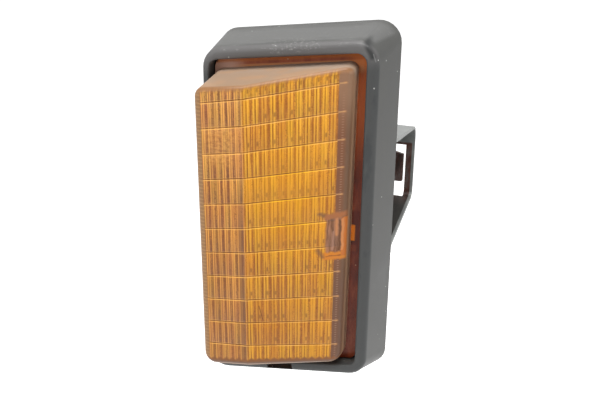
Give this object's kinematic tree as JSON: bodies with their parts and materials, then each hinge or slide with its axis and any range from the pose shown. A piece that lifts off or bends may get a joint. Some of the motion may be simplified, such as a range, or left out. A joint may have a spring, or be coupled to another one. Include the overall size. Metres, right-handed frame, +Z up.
{
  "type": "vehicle side turn signal lamp",
  "caption": "Upright side lamp with leaning ends: a black frame with a wedge-shaped amber lens, a bulb socket behind it and a spring clip that grips the panel.",
  "frame": {"origin": "the middle of the whole lamp's extents; the plane where the frame's back rim meets the panel is 4 mm nearer to the lens", "axes": "+Y out of the back, into the panel; +X to the right as the lens is looked at; +Z up along the lamp's upright sides"},
  "size_m": [0.0442, 0.064, 0.0944],
  "materials": {
    "housing": "black moulded plastic, satin, lightly scuffed",
    "lens": "amber translucent acrylic, grooved and fluted",
    "lens_seal": "black foam rubber",
    "panel_gasket": "black foam rubber",
    "reflector": "bright pressed metal",
    "bulb_base": "plain brass",
    "bulb_insulator": "black glass",
    "bulb_contact": "dull solder",
    "bulb_glass": "clear glass",
    "bulb_stem": "clear glass",
    "bulb_lead_left": "bare nickel wire",
    "bulb_lead_right": "bare nickel wire",
    "bulb_filament": "bare tungsten wire",
    "socket_sleeve": "plated sheet",
    "socket_insulator": "brown phenolic",
    "socket_plunger": "plain brass",
    "socket_spring": "bright spring wire",
    "terminal_live": "plain brass",
    "terminal_earth": "plain brass",
    "spring_clip": "tarnished spring steel",
    "clip_rivet_lower": "plain steel",
    "clip_rivet_upper": "plain steel"
  },
  "bodies": {
    "root": {"housing": "housing", "lens": "lens", "lens_seal": "lens_seal", "panel_gasket": "panel_gasket", "reflector": "reflector", "bulb_base": "bulb_base", "bulb_insulator": "bulb_insulator", "bulb_contact": "bulb_contact", "bulb_glass": "bulb_glass", "bulb_stem": "bulb_stem", "bulb_lead_left": "bulb_lead_left", "bulb_lead_right": "bulb_lead_right", "bulb_filament": "bulb_filament", "socket_sleeve": "socket_sleeve", "socket_insulator": "socket_insulator", "socket_plunger": "socket_plunger", "socket_spring": "socket_spring", "terminal_live": "terminal_live", "terminal_earth": "terminal_earth", "spring_clip": "spring_clip", "clip_rivet_lower": "clip_rivet_lower", "clip_rivet_upper": "clip_rivet_upper"}
  },
  "joints": []
}
